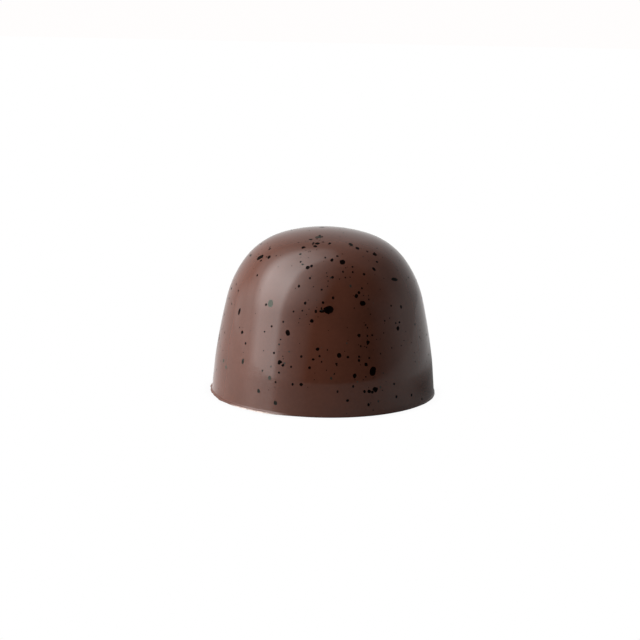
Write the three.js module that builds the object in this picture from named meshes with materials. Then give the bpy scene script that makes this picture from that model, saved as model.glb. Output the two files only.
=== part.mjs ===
// A moulded chocolate praline: one small solid dome of speckled chocolate on a flat underside.
// Millimetres, +Z up. The origin is the centre of the underside, on the surface it stands on,
// and the front is on -Y. Angles round the dome count from the front, positive towards +X.
import * as THREE from "three";
import { mergeVertices } from "three/addons/utils/BufferGeometryUtils.js";

// The widest circle of the dome, just above its foot.
const WIDEST_RADIUS = 14;

// The side view is a chain of arcs that meet without a corner, from the underside up to the top.
// Each runs on until the surface faces `upTo` degrees above the horizontal. The rim and the band
// over it are almost straight, and a slight crease parts them from the more sloping wall. The
// crown has no radius of its own: it is centred on the axis, so it always closes the dome.
const FACING_DOWN = -90;
const ARCS = [
  { name: "foot", radius: 0.15, upTo: 4.7, steps: 5 },
  { name: "rim", radius: 200, upTo: 4.75, steps: 2 },
  { name: "band", radius: 425, upTo: 5.2, steps: 2 },
  { name: "crease", radius: 16, upTo: 7.8, steps: 3 },
  { name: "wall", radius: 81.5, upTo: 13.1, steps: 6 },
  { name: "knee", radius: 13.4, upTo: 35.4, steps: 7 },
  { name: "shoulder", radius: 8.65, upTo: 72.7, steps: 10 },
  { name: "crown", radius: null, upTo: 90, steps: 6 },
];

// The underside was scraped level while the chocolate sat in its mould. That dragged a thin,
// ragged lip out past the foot from the front, round the left side and on towards the back.
const LIP_REACH = 0.2;
const LIP_HEIGHT = 0.3;
const LIP_MIDDLE = -75; // degrees round from the front
const LIP_HALF_SPAN = 63;
const LIP_FADE = 18; // degrees over which it dies away at each end
const LIP_RAGGEDNESS = [
  { waves: 11, share: 0.09, start: 0.4 },
  { waves: 23, share: 0.08, start: 1.9 },
  { waves: 37, share: 0.06, start: 4.1 },
];

const SIDES = 96; // flats round the dome, each under a millimetre wide

const radians = THREE.MathUtils.degToRad;

// The side view as points from the centre of the underside to the centre of the top.
function sideView() {
  const points = [];
  const foot = ARCS[0];
  let radius = WIDEST_RADIUS - foot.radius;
  let height = 0;
  let facing = radians(FACING_DOWN);
  points.push(new THREE.Vector2(0, 0));
  points.push(new THREE.Vector2(radius / 2, 0));
  points.push(new THREE.Vector2(radius, 0));
  for (const arc of ARCS) {
    const bend = arc.radius ?? radius / Math.cos(facing);
    const last = radians(arc.upTo);
    const centre = new THREE.Vector2(radius - bend * Math.cos(facing), height - bend * Math.sin(facing));
    for (let step = 1; step <= arc.steps; step++) {
      const angle = THREE.MathUtils.lerp(facing, last, step / arc.steps);
      radius = centre.x + bend * Math.cos(angle);
      height = centre.y + bend * Math.sin(angle);
      points.push(new THREE.Vector2(radius, height));
    }
    facing = last;
  }
  points.at(-1).x = 0;
  return points;
}

// How far the lip has grown at an angle round the dome: 0 where there is none, about 1 in full.
function lipGrowth(around) {
  const offset = THREE.MathUtils.euclideanModulo(around - LIP_MIDDLE + 180, 360) - 180;
  const fade = THREE.MathUtils.smoothstep(LIP_HALF_SPAN - Math.abs(offset), 0, LIP_FADE);
  let ragged = 1;
  for (const { waves, share, start } of LIP_RAGGEDNESS) {
    ragged += share * Math.sin(waves * radians(around) + start);
  }
  return fade * ragged;
}

// Draws the foot of the turned dome out into the lip: the rounded foot fills up to a square edge,
// and above it the lip thins out into the wall.
function addLip(geometry) {
  const position = geometry.getAttribute("position");
  for (let i = 0; i < position.count; i++) {
    const x = position.getX(i);
    const y = position.getY(i);
    const z = position.getZ(i);
    const radius = Math.hypot(x, y);
    const onRim = radius > WIDEST_RADIUS - ARCS[0].radius - 0.001;
    if (z > LIP_HEIGHT || !onRim) continue;
    const growth = lipGrowth(THREE.MathUtils.radToDeg(Math.atan2(x, -y)));
    const thinning = THREE.MathUtils.smoothstep(LIP_HEIGHT - z, 0, LIP_HEIGHT * 0.7);
    const fill = z < ARCS[0].radius ? WIDEST_RADIUS - radius : 0;
    const scale = (radius + growth * (fill + LIP_REACH * thinning)) / radius;
    position.setXY(i, x * scale, y * scale);
  }
}

function makePraline() {
  const turned = new THREE.LatheGeometry(sideView(), SIDES);
  turned.rotateX(Math.PI / 2);
  turned.deleteAttribute("normal");
  turned.deleteAttribute("uv");
  const geometry = mergeVertices(turned, 0.0001);
  addLip(geometry);
  geometry.computeVertexNormals();
  const chocolate = new THREE.MeshStandardMaterial({
    color: new THREE.Color().setRGB(0.095, 0.035, 0.023),
    roughness: 0.1,
    metalness: 0,
  });
  const mesh = new THREE.Mesh(geometry, chocolate);
  mesh.name = "praline";
  return mesh;
}

const praline = new THREE.Group();
praline.add(makePraline());

export default praline;
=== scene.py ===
import math
import random

import bpy
from mathutils import Matrix, Vector, noise


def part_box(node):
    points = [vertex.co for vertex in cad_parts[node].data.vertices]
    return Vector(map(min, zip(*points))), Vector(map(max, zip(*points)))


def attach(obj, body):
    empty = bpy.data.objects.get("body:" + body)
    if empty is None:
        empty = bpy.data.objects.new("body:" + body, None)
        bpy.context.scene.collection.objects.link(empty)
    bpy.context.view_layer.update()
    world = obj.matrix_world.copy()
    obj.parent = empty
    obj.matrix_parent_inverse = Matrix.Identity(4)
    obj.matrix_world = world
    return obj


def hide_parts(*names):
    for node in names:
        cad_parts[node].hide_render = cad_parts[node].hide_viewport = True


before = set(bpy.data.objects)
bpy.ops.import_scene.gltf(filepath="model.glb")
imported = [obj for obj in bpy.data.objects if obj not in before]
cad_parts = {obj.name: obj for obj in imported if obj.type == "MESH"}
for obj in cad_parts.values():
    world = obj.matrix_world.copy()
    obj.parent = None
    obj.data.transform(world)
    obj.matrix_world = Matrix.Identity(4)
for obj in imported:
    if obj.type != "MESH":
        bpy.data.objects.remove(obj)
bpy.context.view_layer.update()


# ---- The shell ----------------------------------------------------------------------------
# One dome of milk chocolate, cast upside down in a polished mould: arcs that meet without a
# corner, turned about the upright axis. Its underside is scraped level, which leaves a ragged
# lip round the left of the foot and a smaller one on the right.
MM = 0.001
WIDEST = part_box("praline")[1].x  # on the right, where the solid has no lip
FOOT_ROUND = 0.15 * MM
FOOT_DOWN = -90  # degrees above the horizontal that the surface faces where the foot begins
SIDE_VIEW = (  # each arc's radius, the direction it turns to face, and its rows of faces
    (FOOT_ROUND, 4.7, 6),
    (200 * MM, 4.75, 3),  # the rim, where the lip grows
    (425 * MM, 5.2, 10),  # the band, almost straight
    (16 * MM, 7.8, 8),  # the crease over it
    (81.5 * MM, 13.1, 18),
    (13.4 * MM, 35.4, 12),
    (8.65 * MM, 72.7, 18),
    (None, 90, 14),  # the crown, centred on the axis
)
UNDERSIDE_ROWS = 5
SPIN_STEPS = 360
MERGE_WITHIN = 0.001 * MM

LIP_REACH = 0.2 * MM
LIP_HEIGHT = 0.3 * MM
LIP_THINNING = 0.7  # the share of its height over which the lip thins out into the wall
LIP_SLACK = 0.01 * MM  # how far inside the foot's edge a point still counts as on it
LIP_MIDDLE = -75  # degrees round from the front, positive to the right
LIP_HALF_SPAN = 63
LIP_FADE = 18
RIGHT_LIP = 0.6  # the smaller lip, as a share of the large one
RIGHT_LIP_MIDDLE = 85
RIGHT_LIP_HALF_SPAN = 50
LIP_WAVES = ((11, 0.09, 0.4), (23, 0.08, 1.9), (37, 0.06, 4.1))  # waves round, share, start
LIP_CRUMBS = 0.22  # the share that the crumbs along its edge add or take away
LIP_CRUMB_FINENESS = 0.9
CLEAN_BREAK_AND_GLINT = (-54, -6)  # degrees round, between which the edge of the lip broke off clean, with a painted glint
CLEAN_BREAK_AND_GLINT_FADES = (10, 14)
PATCHY_BREAK_FROM = -95  # round from there to the back, it broke off clean in patches
PATCHY_BREAK_FADE = 10
PATCHY_BREAK = 0.8
PATCH_FINENESS = 0.11
PATCH_CONTRAST = 3
BREAK_CRUMBS = 0.9
BREAK_CRUMB_FINENESS = 0.8


def side_arcs():
    """The side view as arcs: each one's centre out and up, its radius, and where it faces."""
    arcs = []
    out, height, facing = WIDEST - FOOT_ROUND, 0.0, math.radians(FOOT_DOWN)
    for bend, last, _ in SIDE_VIEW:
        bend = bend or out / math.cos(facing)
        last = math.radians(last)
        centre_out = out - bend * math.cos(facing)
        centre_height = height - bend * math.sin(facing)
        arcs.append((centre_out, centre_height, bend, facing, last))
        out = centre_out + bend * math.cos(last)
        height = centre_height + bend * math.sin(last)
        facing = last
    return arcs


SIDE_ARCS = side_arcs()
SIDE_LENGTH = sum(bend * (last - first) for _, _, bend, first, last in SIDE_ARCS)


def side_view_at(along):
    """Where the side view is after a length measured up from the foot: out, height, facing."""
    for centre_out, centre_height, bend, first, last in SIDE_ARCS:
        facing = min(first + along / bend, last)
        along -= bend * (last - first)
        if along <= 0:
            break
    return centre_out + bend * math.cos(facing), centre_height + bend * math.sin(facing), facing


def side_rows():
    """The points of the side view, from the centre of the underside to the centre of the top."""
    foot = WIDEST - FOOT_ROUND
    rows = [(foot * step / UNDERSIDE_ROWS, 0.0) for step in range(UNDERSIDE_ROWS + 1)]
    start = 0.0
    for (_, _, count), (_, _, bend, first, last) in zip(SIDE_VIEW, SIDE_ARCS):
        length = bend * (last - first)
        rows += [side_view_at(start + length * step / count)[:2] for step in range(1, count + 1)]
        start += length
    rows[-1] = (0.0, rows[-1][1])
    return rows


def turn_shell():
    bpy.ops.object.select_all(action="DESELECT")
    bpy.ops.mesh.primitive_circle_add(vertices=3, radius=MM)
    bpy.ops.object.mode_set(mode="EDIT")
    bpy.ops.mesh.select_mode(type="VERT")
    bpy.ops.mesh.merge(type="CENTER")
    rows = side_rows()
    for (out, height), (next_out, next_height) in zip(rows, rows[1:]):
        step = (next_out - out, 0, next_height - height)
        bpy.ops.mesh.extrude_region_move(TRANSFORM_OT_translate={"value": step})
    bpy.ops.mesh.select_all(action="SELECT")
    bpy.ops.mesh.spin(steps=SPIN_STEPS, angle=math.tau, center=(0, 0, 0), axis=(0, 0, 1))
    bpy.ops.mesh.select_all(action="SELECT")
    bpy.ops.mesh.remove_doubles(threshold=MERGE_WITHIN)
    bpy.ops.mesh.normals_make_consistent(inside=False)
    bpy.ops.object.mode_set(mode="OBJECT")
    bpy.ops.object.shade_smooth()
    turned = bpy.context.object
    turned.name = "shell"
    return turned


def smooth_step(value):
    value = min(max(value, 0.0), 1.0)
    return value * value * (3 - 2 * value)


def within_span(around, middle, half_span, fade):
    """1 inside a stretch of the foot, fading to 0 at its two ends."""
    offset = (around - middle + 180) % 360 - 180
    return smooth_step((half_span - abs(offset)) / fade)


def uneven(around, fineness, row):
    """A level between about -1 and 1 that wanders round the foot, differently in each row."""
    return noise.noise(Vector((around * fineness, row + 0.5, 0.5)))


def lip_growth(around):
    """0 where the foot has no lip, and about 1 where the lip stands out in full."""
    left = within_span(around, LIP_MIDDLE, LIP_HALF_SPAN, LIP_FADE)
    right = within_span(around, RIGHT_LIP_MIDDLE, RIGHT_LIP_HALF_SPAN, RIGHT_LIP_HALF_SPAN)
    turn = math.radians(around)
    waves = sum(share * math.sin(count * turn + start) for count, share, start in LIP_WAVES)
    crumbs = LIP_CRUMBS * uneven(around, LIP_CRUMB_FINENESS, 0)
    return (left + RIGHT_LIP * right) * (1 + waves + crumbs)


def lip_break_and_glint(around):
    """How clean the edge of the lip broke off: 1 where it shows the pale crumb, and in front a
    painted glint, 0 where smeared.
    """
    starts, ends = CLEAN_BREAK_AND_GLINT
    fade_in, fade_out = CLEAN_BREAK_AND_GLINT_FADES
    front = smooth_step((around - starts) / fade_in) * smooth_step((ends - around) / fade_out)
    patches = smooth_step(0.5 + PATCH_CONTRAST * uneven(around, PATCH_FINENESS, 4))
    crumbs = 1 + BREAK_CRUMBS * uneven(around, BREAK_CRUMB_FINENESS, 7)
    back = smooth_step((PATCHY_BREAK_FROM - around) / PATCHY_BREAK_FADE)
    return max(front, PATCHY_BREAK * patches * back) * crumbs


def draw_out_lip(piece):
    """Pushes the foot out into the lip, and marks its scraped and broken parts, the broken edge
    also carrying a painted glint.
    """
    mark = piece.data.attributes.new("lip", "FLOAT", "POINT")
    torn_and_glint = piece.data.attributes.new("torn_and_glint", "FLOAT", "POINT")
    for vertex in piece.data.vertices:
        out = math.hypot(vertex.co.x, vertex.co.y)
        if vertex.co.z > LIP_HEIGHT or out < WIDEST - FOOT_ROUND - LIP_SLACK:
            continue
        around = math.degrees(math.atan2(vertex.co.x, -vertex.co.y))
        growth = lip_growth(around)
        thinning = smooth_step((LIP_HEIGHT - vertex.co.z) / (LIP_THINNING * LIP_HEIGHT))
        fill = WIDEST - out if vertex.co.z < FOOT_ROUND else 0.0
        scale = (out + growth * (fill + LIP_REACH * thinning)) / out
        vertex.co.x *= scale
        vertex.co.y *= scale
        mark.data[vertex.index].value = growth * thinning
        edge = smooth_step((FOOT_ROUND - vertex.co.z) / (FOOT_ROUND / 2))
        torn_and_glint.data[vertex.index].value = growth * edge * lip_break_and_glint(around)


shell = turn_shell()
draw_out_lip(shell)


def add_node(tree, kind, inputs=None, **settings):
    """A shader node with its settings, and each input set to a value or joined to a socket."""
    made = tree.nodes.new("ShaderNode" + kind)
    for name, value in settings.items():
        setattr(made, name, value)
    for name, value in (inputs or {}).items():
        if isinstance(value, bpy.types.NodeSocket):
            tree.links.new(value, made.inputs[name])
        else:
            made.inputs[name].default_value = value
    return made


def remap(tree, value, old, new, **settings):
    """A value stretched so that the two old ends come out as the two new ones."""
    ends = {0: value, 1: old[0], 2: old[1], 3: new[0], 4: new[1]}
    return add_node(tree, "MapRange", ends, **settings).outputs[0]


def combine(tree, operation, first, second):
    """Two values joined by one step of arithmetic."""
    return add_node(tree, "Math", {0: first, 1: second}, operation=operation).outputs[0]


def blend(tree, share, first, second):
    """The first value where the share is 0, and the second where it is 1."""
    return add_node(tree, "Mix", {0: share, 2: first, 3: second}, data_type="FLOAT").outputs[0]


def blend_colours(tree, share, first, second):
    """The first colour where the share is 0, and the second where it is 1."""
    parts = {"Factor": share, "A": first, "B": (*second, 1)}
    return add_node(tree, "Mix", parts, data_type="RGBA").outputs[2]


def colour_ramp(tree, place, stops):
    """A colour read off a few stops of place and colour."""
    made = add_node(tree, "ValToRGB", {"Fac": place})
    elements = made.color_ramp.elements
    while len(elements) < len(stops):
        elements.new(0.5)
    for element, (position, colour) in zip(elements, stops):
        element.position = position
        element.color = (*colour, 1)
    return made.outputs["Color"]


def grey_ramp(tree, place, stops):
    """A grey level read off a few stops of place and level."""
    return colour_ramp(tree, place, [(position, (level,) * 3) for position, level in stops])


def cloud(tree, place, scale, detail):
    """Smooth random clouds, so many to the metre, with so many finer layers."""
    made = add_node(tree, "TexNoise", {"Vector": place, "Scale": scale, "Detail": detail})
    return made.outputs["Fac"]


def raised(tree, height, depth, strength=1.0, over=None):
    """The surface's direction with a fine relief on it, laid over another relief if given."""
    parts = {"Strength": strength, "Distance": depth, "Height": height}
    if over is not None:
        parts["Normal"] = over
    return add_node(tree, "Bump", parts).outputs["Normal"]


def mark_on(tree, name):
    """What a mark left on the mesh says at each point."""
    return add_node(tree, "Attribute", attribute_name=name).outputs["Fac"]


def new_material(name):
    """A material, its node tree, its main shader and the place on the piece."""
    material = bpy.data.materials.new(name)
    material.use_nodes = True
    tree = material.node_tree
    place = add_node(tree, "TexCoord").outputs["Object"]
    return material, tree, tree.nodes["Principled BSDF"], place


COCOA_BUTTER_IOR = 1.46
POLISH = (0.07, 0.1)  # roughness where the mould's polish is clearest, and where it is haziest
DULL = 0.5  # roughness where the scraper passed
DARK_BROWN = (0.063, 0.0216, 0.0128)
LIGHT_BROWN = (0.082, 0.0279, 0.0166)
BROWNS_AT = (0.35, 0.68)  # where in the mottle each of them is reached
# pale crumb on the lip's broken edge, in front also a painted glint of the light it catches
PALE_CRUMB_AND_GLINT = (0.6, 0.5, 0.45)
DRIFT = (170, 3)  # clouds to the metre, and their finer layers
GRAIN = (2600, 2)
GRAIN_SHARE = 0.25
HAZE = (420, 4)
HAZE_ENDS = (0.3, 0.75)
WAVES = (120, 1)
WAVE_DEPTH = 0.02 * MM
SCRAPER_LINES = (60, 1800, 60)  # to the metre each way, closest across the scraper's path
SCRAPER_LAYERS = 4
SCRAPER_LINE_DEPTH = 0.05 * MM
SCRAPED_BELOW = 0.02 * MM


def mould_polish(tree, place):
    """The roughness that the mould's polish leaves, a little uneven."""
    return remap(tree, cloud(tree, place, *HAZE), HAZE_ENDS, POLISH)


def mould_waves(tree, place, depth):
    """The slight waves of a cast face."""
    return raised(tree, cloud(tree, place, *WAVES), depth)


def milk_chocolate():
    """Tempered milk chocolate: slightly mottled brown under a high gloss, dull where scraped."""
    material, tree, gloss, place = new_material("milk_chocolate")

    # Cocoa solids and milk fat never mix quite evenly, so the brown drifts a little.
    mottle = blend(tree, GRAIN_SHARE, cloud(tree, place, *DRIFT), cloud(tree, place, *GRAIN))
    brown = colour_ramp(tree, mottle, tuple(zip(BROWNS_AT, (DARK_BROWN, LIGHT_BROWN))))
    # The broken edge of the lip turns pale: its crumb, and in front a painted glint.
    with_crumb_and_glint = blend_colours(tree, mark_on(tree, "torn_and_glint"), brown, PALE_CRUMB_AND_GLINT)
    tree.links.new(with_crumb_and_glint, gloss.inputs["Base Color"])

    # The underside and the lip lost their gloss under the scraper.
    height = add_node(tree, "SeparateXYZ", {0: place}).outputs["Z"]
    underside = remap(tree, height, (SCRAPED_BELOW, 0), (0, 1))
    scraped = combine(tree, "MAXIMUM", underside, mark_on(tree, "lip"))
    roughness = blend(tree, scraped, mould_polish(tree, place), DULL)
    tree.links.new(roughness, gloss.inputs["Roughness"])

    # The scraper left fine parallel lines. All else keeps the mould's waves.
    lines = add_node(tree, "Mapping", {"Vector": place, "Scale": SCRAPER_LINES}).outputs[0]
    waves = mould_waves(tree, place, WAVE_DEPTH)
    drag = cloud(tree, lines, 1, SCRAPER_LAYERS)
    relief = raised(tree, drag, SCRAPER_LINE_DEPTH, scraped, waves)
    tree.links.new(relief, gloss.inputs["Normal"])
    gloss.inputs["IOR"].default_value = COCOA_BUTTER_IOR
    return material


shell.data.materials.append(milk_chocolate())
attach(shell, "root")
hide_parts("praline")


# ---- The flecks ---------------------------------------------------------------------------
# Black cocoa butter, flicked off a brush into the empty mould before the chocolate went in.
# Each drop set as a thin scale in the face of the shell. A few are a millimetre across, most
# are specks, the fine ones gather round the large ones, and some sank and show faintly. These
# have a painted sheen: a greenish grey in their colour that stands in for the highlight
# mirrored over them.
FLECK_THICKNESS = 0.03 * MM
FLECK_PROUD = 0.006 * MM
LONG_FLECKS = (  # degrees round, mm up the side, mm across, mm tall, degrees of lean
    (2.2, 13.0, 1.2, 1.05, 0),
    (-1.4, 12.8, 0.75, 0.42, -12),
    (26, 5.5, 0.92, 1.1, 5),
    (27, 3.3, 0.72, 0.66, 20),
    (-60, 18.6, 0.8, 1.05, 40),
    (-57, 11.4, 0.45, 0.95, 15),
    (22.5, 13.7, 0.72, 0.62, -15),
    (13, 19.1, 0.68, 0.84, 20),
    (-10, 22.5, 0.58, 0.6, 10),
    (-11.5, 21.8, 0.5, 0.5, 0),
    (16, 5.1, 0.45, 0.66, 0),
    (36.5, 17.8, 0.4, 0.58, -10),
    (46, 19.9, 0.66, 0.5, 25),
    (32.5, 21.3, 0.54, 0.52, 25),
    (44.5, 10.2, 0.48, 0.62, 0),
    (4.8, 19.4, 0.36, 0.48, 0),
)
ROUND_FLECKS = (  # degrees round, mm up the side, mm across
    (-50, 19, 0.52),
    (-13, 18.2, 0.48),
    (-20, 10, 0.62),
    (8, 7.6, 0.54),
    (-23.3, 6.4, 0.48),
    (-21.2, 6.1, 0.38),
    (-3.3, 8.3, 0.46),
    (-7, 11.6, 0.44),
    (19, 14.6, 0.45),
    (21, 15, 0.36),
    (24, 9, 0.44),
    (19, 9.9, 0.42),
    (22.3, 6.4, 0.4),
    (23.6, 3.1, 0.45),
    (-11, 4, 0.4),
    (-50.5, 9.1, 0.45),
    (-23, 21.4, 0.5),
    (4.8, 17, 0.34),
)
SUNK_FLECKS_WITH_SHEEN = (  # as the long ones, with how far each sank, from 0 to 1, which also sets its painted sheen
    (-33, 13.2, 0.8, 0.9, 0, 1.0),
    (-13.5, 24.3, 0.72, 0.66, -15, 0.3),
    (-28, 4.4, 0.42, 0.5, 10, 0.55),
    (-65, 4.9, 0.42, 0.5, 0, 0.6),
    (-61, 4.3, 0.4, 0.45, 20, 0.6),
    (-46.5, 5.7, 0.45, 0.66, 0, 0.2),
    (-34, 2.6, 0.5, 0.46, 60, 0.22),
    (-24, 1.5, 0.46, 0.52, 0, 0.14),
    (28.5, 22.2, 0.54, 0.8, 0, 0.1),
    (51, 16.1, 1.15, 0.5, 5, 0.07),
)
SEED = 12
DROP_SHAPES = 7
LARGE_DROP = {"sides": 9, "ragged": 0.2, "rounding": 2}
SMALL_DROP = {"sides": 6, "ragged": 0.12, "rounding": 1}
LARGE_DROP_SEED = 1
SMALL_DROP_SEED = 31
TALLNESS = (0.9, 1.2)  # height over width of a round fleck

SPECKS = 490
SPECK_SIZES = (0.1, 0.36)  # mm across
SPECK_FEWER_LARGE = 2  # the higher this power, the more of them are near the small end
SPECK_TALLNESS = (0.8, 1.3)
SPECKS_FROM = 0.6  # mm up the side
SPECKS_SHORT_OF_TOP = 0.2
GATHERED = 0.5  # the share of the specks that fell near a large fleck
GATHER_ROUND = 7  # how far from it they spread, in degrees round and mm up the side
GATHER_UP = 1.3
FAR_CENTRES = 24  # gatherings with no listed fleck in them, all round the back
FAR_CENTRES_ROUND = (60, 300)
FAR_CENTRES_UP = (1.5, 24)
SUNK_WITH_SHEEN_SHARE = 0.2  # of the specks, those that sank a little and show faintly, with a painted sheen
SUNK_WITH_SHEEN_DEPTHS = (0.15, 0.45)

FAR_FLECKS = 95
FAR_SIDE = (76, 284)  # degrees round, from just inside the front view's edges, by the back
FAR_UP_FROM = 0.8  # mm up the side
FAR_SHORT_OF_TOP = 0.5
FAR_SIZES = (0.3, 1.0)  # mm across
FAR_FEWER_LARGE = 3.5
FAR_TALLNESS = (1, 1, 1.1, 0.9, 0.6, 1.7)  # drawn from at random, as is the depth they sank, which sets their painted sheen
FAR_SUNK_WITH_SHEEN = (0, 0, 0, 0, 0, 0.3)
CROWN_FROM = 20  # mm up the side, above which they fall only near the back
CROWN_HALF_SPAN = 60  # degrees to each side of the back


def cast_drop(seed, sides, ragged, rounding):
    """A flat drop one unit across, with an uneven smooth rim and faces enough to bend."""
    bpy.ops.object.select_all(action="DESELECT")
    bpy.ops.mesh.primitive_circle_add(vertices=sides, radius=0.5, fill_type="NGON")
    bpy.ops.object.mode_set(mode="EDIT")
    bpy.ops.transform.vertex_random(offset=ragged, seed=seed)
    bpy.ops.transform.resize(value=(1, 1, 0))
    bpy.ops.object.mode_set(mode="OBJECT")
    drop = bpy.context.object
    smooth = drop.modifiers.new("smooth", "SUBSURF")
    smooth.levels = rounding
    smooth.render_levels = rounding
    bpy.ops.object.modifier_apply(modifier=smooth.name)
    width = max(drop.dimensions.x, drop.dimensions.y)
    drop.data.transform(Matrix.Scale(1 / width, 4))
    return drop


def lay_drop(drop, around, along, across, tall, lean, sunk_and_sheen=0.0):
    """A copy of a drop laid on the dome at a place round it and up its side."""
    out, height, facing = side_view_at(along * MM)
    turn = math.radians(around)
    outward = Vector((math.sin(turn), -math.cos(turn), 0))
    normal = outward * math.cos(facing) + Vector((0, 0, math.sin(facing)))
    rightward = Vector((math.cos(turn), math.sin(turn), 0))
    upward = normal.cross(rightward)
    spot = outward * out + Vector((0, 0, height))
    axes = Matrix((rightward, upward, normal)).transposed().to_4x4()
    laid = drop.copy()
    laid.data = drop.data.copy()
    laid.data.transform(
        Matrix.Translation(spot)
        @ axes
        @ Matrix.Rotation(-math.radians(lean), 4, "Z")
        @ Matrix.Diagonal((across * MM, tall * MM, 0, 1))
    )
    # how far it sank, and so how much painted sheen it has
    mark = laid.data.attributes.new("sunk_and_sheen", "FLOAT", "POINT")
    for point in mark.data:
        point.value = sunk_and_sheen
    bpy.context.collection.objects.link(laid)
    return laid


def lands(draw, along):
    """Whether a drop meant for this height lands there: fewer do where the dome is narrow."""
    return side_view_at(along * MM)[0] >= draw.random() * WIDEST


def speck_places(draw):
    """Where the small specks fell: some close to a large fleck, the others all round the dome."""
    top = SIDE_LENGTH / MM
    smallest, largest = SPECK_SIZES
    centres = [fleck[:2] for fleck in LONG_FLECKS + ROUND_FLECKS]
    for _ in range(FAR_CENTRES):
        centres.append((draw.uniform(*FAR_CENTRES_ROUND), draw.uniform(*FAR_CENTRES_UP)))
    places = []
    while len(places) < SPECKS:
        size = smallest + (largest - smallest) * draw.random() ** SPECK_FEWER_LARGE
        if draw.random() < GATHERED:
            around, along = draw.choice(centres)
            around += draw.gauss(0, GATHER_ROUND)
            along += draw.gauss(0, GATHER_UP)
        else:
            around, along = draw.uniform(-180, 180), draw.uniform(0, top)
            if not lands(draw, along):
                continue
        sunk_and_sheen = draw.uniform(*SUNK_WITH_SHEEN_DEPTHS) if draw.random() < SUNK_WITH_SHEEN_SHARE else 0.0
        if SPECKS_FROM < along < top - SPECKS_SHORT_OF_TOP:
            places.append((around, along, size, size * draw.uniform(*SPECK_TALLNESS), 0, sunk_and_sheen))
    return places


def far_flecks(draw):
    """Larger flecks round the back, like those in front: most are round, and some are long."""
    top = SIDE_LENGTH / MM - FAR_SHORT_OF_TOP
    smallest, largest = FAR_SIZES
    places = []
    while len(places) < FAR_FLECKS:
        around, along = draw.uniform(*FAR_SIDE), draw.uniform(FAR_UP_FROM, top)
        if along > CROWN_FROM and abs(around - 180) > CROWN_HALF_SPAN:
            continue
        if not lands(draw, along):
            continue
        size = smallest + (largest - smallest) * draw.random() ** FAR_FEWER_LARGE
        tall = size * draw.choice(FAR_TALLNESS)
        sunk_and_sheen = draw.choice(FAR_SUNK_WITH_SHEEN)
        places.append((around, along, size, tall, draw.uniform(-90, 90), sunk_and_sheen))
    return places


def flick_flecks():
    draw = random.Random(SEED)
    large = [cast_drop(LARGE_DROP_SEED + index, **LARGE_DROP) for index in range(DROP_SHAPES)]
    small = [cast_drop(SMALL_DROP_SEED + index, **SMALL_DROP) for index in range(DROP_SHAPES)]
    laid = [lay_drop(draw.choice(large), *fleck) for fleck in LONG_FLECKS]
    laid += [lay_drop(draw.choice(large), *fleck) for fleck in SUNK_FLECKS_WITH_SHEEN]
    for around, along, size in ROUND_FLECKS:
        tall = size * draw.uniform(*TALLNESS)
        laid.append(lay_drop(draw.choice(large), around, along, size, tall, draw.uniform(0, 360)))
    laid += [lay_drop(draw.choice(large), *place) for place in far_flecks(draw)]
    laid += [lay_drop(draw.choice(small), *place) for place in speck_places(draw)]
    bpy.ops.object.select_all(action="DESELECT")
    for piece in laid:
        piece.select_set(True)
    bpy.context.view_layer.objects.active = laid[0]
    bpy.ops.object.join()
    for drop in large + small:
        bpy.data.objects.remove(drop)
    joined = bpy.context.object
    joined.name = "flecks"
    return joined


def sink_into_shell(piece):
    """Bends the flat drops onto the dome, thickens them inwards and shades them like it."""
    wrap = piece.modifiers.new("wrap", "SHRINKWRAP")
    wrap.target = shell
    wrap.wrap_method = "NEAREST_SURFACEPOINT"
    wrap.wrap_mode = "ABOVE_SURFACE"
    wrap.offset = FLECK_PROUD
    bpy.ops.object.modifier_apply(modifier=wrap.name)
    thicken = piece.modifiers.new("thicken", "SOLIDIFY")
    thicken.thickness = FLECK_THICKNESS
    thicken.offset = -1
    bpy.ops.object.modifier_apply(modifier=thicken.name)
    bpy.ops.object.shade_smooth()
    follow = piece.modifiers.new("follow", "DATA_TRANSFER")
    follow.object = shell
    follow.use_loop_data = True
    follow.data_types_loops = {"CUSTOM_NORMAL"}
    follow.loop_mapping = "POLYINTERP_NEAREST"
    bpy.ops.object.modifier_apply(modifier=follow.name)


DEEP_BLACK = (0.0014, 0.0005, 0.0003)
THIN_BLACK = (0.0048, 0.0022, 0.0014)
BLACKS_AT = (0.35, 0.8)
THICKNESS_CLOUDS = (1500, 2)
PAINTED_SHEEN_GREY = (0.078, 0.084, 0.070)  # greenish grey: a painted sheen, the highlight mirrored over a fleck that sank in full
FLECK_GLOSS = 0.02
FLECK_WAVE_DEPTH = 0.012 * MM


def black_cocoa_butter():
    """Cocoa butter coloured black, almost without gloss, with a greenish grey painted sheen where
    it sank.
    """
    material, tree, gloss, place = new_material("black_cocoa_butter")
    thickness = cloud(tree, place, *THICKNESS_CLOUDS)
    black = colour_ramp(tree, thickness, tuple(zip(BLACKS_AT, (DEEP_BLACK, THIN_BLACK))))
    # A painted sheen: where a fleck sank, its colour turns greenish grey, as the highlight mirrored
    # over it.
    black_with_painted_sheen = blend_colours(tree, mark_on(tree, "sunk_and_sheen"), black, PAINTED_SHEEN_GREY)
    tree.links.new(black_with_painted_sheen, gloss.inputs["Base Color"])
    tree.links.new(mould_polish(tree, place), gloss.inputs["Roughness"])
    tree.links.new(mould_waves(tree, place, FLECK_WAVE_DEPTH), gloss.inputs["Normal"])
    gloss.inputs["Specular IOR Level"].default_value = FLECK_GLOSS
    gloss.inputs["IOR"].default_value = COCOA_BUTTER_IOR
    return material


flecks = flick_flecks()
sink_into_shell(flecks)
flecks.data.materials.append(black_cocoa_butter())
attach(flecks, "root")


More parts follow.
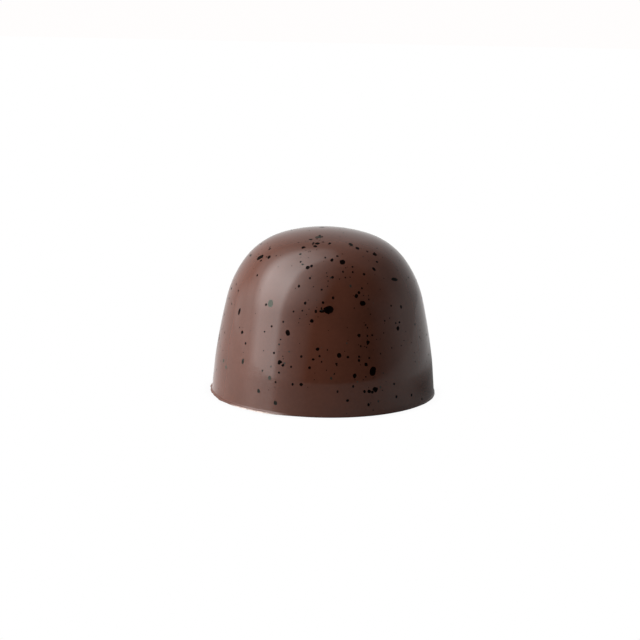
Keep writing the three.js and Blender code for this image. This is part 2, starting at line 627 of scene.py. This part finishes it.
# ---- The table ----------------------------------------------------------------------------
# A plain white sheet under the praline. It is shown evenly white, as an overexposed sheet is,
# with a painted shade at the foot. What the shell mirrors is light and shade painted in the
# sheet's colour: dimmer in front, painted light on the left where the softbox stands, and a
# painted shadow close behind the foot.
SHEET_SIZE = 1.6
SHADE_REACH = 2 * MM
SHADE_SAMPLES = 12
SHADE_LEVELS = ((0.3, 0.93), (0.9, 1))  # share of open sky, and how white it is shown
SHEET_GLOSS = 0.25  # roughness
PAINTED_LIGHT_TONES = (0.37, 0.56)  # painted shade: how white it is in front and behind
TONE_SPAN = (-0.8, -0.1)  # a span is the share of the way out that runs back, at each end
NEAR_FOOT = 24 * MM
CLEAR_OF_FOOT = 48 * MM
PAINTED_POOL_AND_SHADOW = (1.15, 0.1)  # how bright it is near the foot: painted light in front, a painted shadow behind
NEAR_SPAN = (-0.5, 0)
# painted light on the left, where the softbox stands
LIT_SIDE_LEVEL = 1.2
LIT_SIDE_SPAN = (-0.2, -0.75)  # the share of the way out that runs right, at each end


def white_sheet():
    """White paper: all one white to the camera, and in the shell's reflection with light and shade
    painted in its colour.
    """
    material, tree, paper, place = new_material("white_sheet")
    outward = add_node(tree, "VectorMath", {0: place}, operation="NORMALIZE").outputs["Vector"]
    parts = add_node(tree, "SeparateXYZ", {0: outward}).outputs
    reach = add_node(tree, "VectorMath", {0: place}, operation="LENGTH").outputs["Value"]
    # Painted light and shade in the sheet's colour: dimmer in front, a painted pool of light in
    # front of the foot and a painted shadow behind it, and painted light on the left.
    painted_light_tone = remap(tree, parts["Y"], TONE_SPAN, PAINTED_LIGHT_TONES)
    near = remap(tree, parts["Y"], NEAR_SPAN, PAINTED_POOL_AND_SHADOW)
    level = remap(tree, reach, (NEAR_FOOT, CLEAR_OF_FOOT), (near, 1))
    lit_side = remap(tree, parts["X"], LIT_SIDE_SPAN, (0, LIT_SIDE_LEVEL))
    painted_light_and_shade = combine(tree, "MULTIPLY", painted_light_tone, combine(tree, "MAXIMUM", level, lit_side))
    tree.links.new(painted_light_and_shade, paper.inputs["Base Color"])
    paper.inputs["Roughness"].default_value = SHEET_GLOSS

    # A painted shade at the foot: the white shown to the camera darkens where little sky is open.
    shade = add_node(tree, "AmbientOcclusion", {"Distance": SHADE_REACH}, samples=SHADE_SAMPLES)
    tones = grey_ramp(tree, shade.outputs["AO"], SHADE_LEVELS)
    bright = add_node(tree, "Emission", {"Color": tones, "Strength": 1.0}).outputs[0]
    seen = add_node(tree, "LightPath").outputs["Is Camera Ray"]
    surface = add_node(tree, "MixShader", {0: seen, 1: paper.outputs[0], 2: bright})
    tree.links.new(surface.outputs[0], tree.nodes["Material Output"].inputs["Surface"])
    return material


bpy.ops.mesh.primitive_plane_add(size=SHEET_SIZE)
table = bpy.context.object
table.name = "table"
table.data.materials.append(white_sheet())


# ---- The studio ---------------------------------------------------------------------------
# A tall softbox on the left gives the long highlight, with a soft glow round it. Pale walls
# stand behind and at the sides, and the front is dark. All this is painted on the surroundings
# by direction. A small lamp lifts the left flank.
scene = bpy.context.scene
AIM = Vector((0, 0, 0.7 * WIDEST))  # just under the middle of the praline


def toward(around, up):
    """The direction from the praline at degrees round from the front and degrees up."""
    turn, rise = math.radians(around), math.radians(up)
    return Vector(
        (math.sin(turn) * math.cos(rise), -math.cos(turn) * math.cos(rise), math.sin(rise))
    )


SOFTBOX_AROUND = -80  # degrees round from the front, positive to the right
SOFTBOX_UP = 40
SOFTBOX_LEAN = 19
SOFTBOX_GLOW = 6.25
SOFTBOX_REACH = 2.0  # how far its two profiles run either side, as a share of its distance
SOFTBOX_ACROSS = (  # place from its back edge to its front one, and how bright it is there
    (0.3, 0.04), (0.39, 0.24), (0.45, 0.95), (0.58, 0.98), (0.61, 0.45), (0.66, 0.28),
    (0.75, 0.15), (1.0, 0.0),
)
SOFTBOX_UPWARD = (  # place from its foot to its top, and how bright it is there
    (0.2, 0.6), (0.35, 0.65), (0.45, 0.95), (0.5, 1.0), (0.65, 0.5), (0.8, 0.2), (1.0, 0.0),
)
WALLS = (  # place from the front to the back, and how bright the walls are there
    (0.2, 0.02), (0.3, 0.16), (0.55, 0.5), (0.8, 0.43), (0.9, 0.52), (1.0, 0.7),
)
PATCHES = (  # degrees round, degrees up, half its width in degrees, and how much light it adds
    (-106, 0, 26, 0.85),  # a low glow behind on the left
    (98, 48, 42, -0.25),  # a black card high on the right
)
LEAST_AHEAD = 0.05  # what directions square to the softbox are divided by, in place of zero
WALL_TINT = (1, 0.985, 0.98, 1)

FILL_AROUND = -97
FILL_UP = 8
FILL_DISTANCE = 0.3
FILL_SIZE = 0.12
FILL_LEVEL = 1.0  # how bright a white card facing it at the praline comes out


def part_along(tree, way, axis):
    """How far a direction runs along an axis."""
    made = add_node(tree, "VectorMath", {0: way, 1: axis}, operation="DOT_PRODUCT")
    return made.outputs["Value"]


def softbox_glow(tree, way):
    """The softbox, flat and square to the praline: what each direction meets on its face."""
    axes = toward(SOFTBOX_AROUND, SOFTBOX_UP).to_track_quat("Z", "Y").to_matrix()
    axes = axes @ Matrix.Rotation(math.radians(SOFTBOX_LEAN), 3, "Z")
    ahead = combine(tree, "MAXIMUM", part_along(tree, way, axes.col[2]), LEAST_AHEAD)
    levels = []
    for axis, profile in ((axes.col[0], SOFTBOX_ACROSS), (axes.col[1], SOFTBOX_UPWARD)):
        place = combine(tree, "DIVIDE", part_along(tree, way, axis), ahead)
        share = remap(tree, place, (-SOFTBOX_REACH, SOFTBOX_REACH), (0, 1))
        levels.append(grey_ramp(tree, share, profile))
    return combine(tree, "MULTIPLY", *levels)


def light_studio():
    """Paints the softbox and the walls on the surroundings. The camera sees plain white there."""
    world = bpy.data.worlds.new("studio")
    world.use_nodes = True
    scene.world = world
    tree = world.node_tree
    way = add_node(tree, "TexCoord").outputs["Generated"]
    depth = add_node(tree, "SeparateXYZ", {0: way}).outputs["Y"]
    walls = grey_ramp(tree, remap(tree, depth, (-1, 1), (0, 1)), WALLS)
    for around, up, half_width, level in PATCHES:
        near = part_along(tree, way, toward(around, up))
        edge = math.cos(math.radians(half_width))
        patch = remap(tree, near, (edge, 1), (0, level), interpolation_type="SMOOTHSTEP")
        walls = combine(tree, "ADD", walls, patch)
    softbox = combine(tree, "MULTIPLY", softbox_glow(tree, way), SOFTBOX_GLOW)
    seen = add_node(tree, "LightPath").outputs["Is Camera Ray"]
    shown = blend(tree, seen, combine(tree, "ADD", softbox, walls), 1.0)
    background = tree.nodes["Background"]
    tree.links.new(shown, background.inputs["Strength"])
    background.inputs["Color"].default_value = WALL_TINT


def hang_fill():
    """A low lamp that lifts the left flank, and leaves no glint and no light on the sheet."""
    facing = toward(FILL_AROUND, FILL_UP)
    bpy.ops.object.select_all(action="DESELECT")
    bpy.ops.object.light_add(type="AREA")
    fill = bpy.context.object
    fill.name = "fill"
    turned = facing.to_track_quat("Z", "Y").to_matrix().to_4x4()
    fill.matrix_world = Matrix.Translation(AIM + facing * FILL_DISTANCE) @ turned
    fill.data.size = FILL_SIZE
    fill.data.energy = FILL_LEVEL * (math.pi * FILL_DISTANCE) ** 2
    fill.visible_glossy = False
    fill.visible_camera = False
    lit_pieces = bpy.data.collections.new("lit_by_fill")
    lit_pieces.objects.link(shell)
    lit_pieces.objects.link(flecks)
    fill.light_linking.receiver_collection = lit_pieces


light_studio()
hang_fill()
scene.view_settings.view_transform = "Standard"


# ---- The camera ---------------------------------------------------------------------------
# A telephoto a little above the praline, looking slightly down on its shoulder.
CAMERA_DISTANCE = 16 * WIDEST
CAMERA_RISE = 11.71  # degrees
CAMERA_ROLL = 1.17
CAMERA_LENS = 100.5  # mm, as the sensor's width is
SENSOR_WIDTH = 36
CLIP_START = 0.01
CLIP_END = 10
AIM_RIGHT = -0.04 * WIDEST
AIM_UP = -0.06 * WIDEST

eye = AIM + toward(0, CAMERA_RISE) * CAMERA_DISTANCE
camera_data = bpy.data.cameras.new("camera")
camera_data.lens = CAMERA_LENS
camera_data.sensor_width = SENSOR_WIDTH
camera_data.clip_start = CLIP_START
camera_data.clip_end = CLIP_END
camera = bpy.data.objects.new("camera", camera_data)
bpy.context.collection.objects.link(camera)
level = (eye - AIM).to_track_quat("Z", "Y").to_matrix()
target = AIM + level.col[0] * AIM_RIGHT + level.col[1] * AIM_UP
aimed = (eye - target).to_track_quat("Z", "Y").to_matrix().to_4x4()
camera.matrix_world = (
    Matrix.Translation(eye) @ aimed @ Matrix.Rotation(math.radians(CAMERA_ROLL), 4, "Z")
)
scene.camera = camera
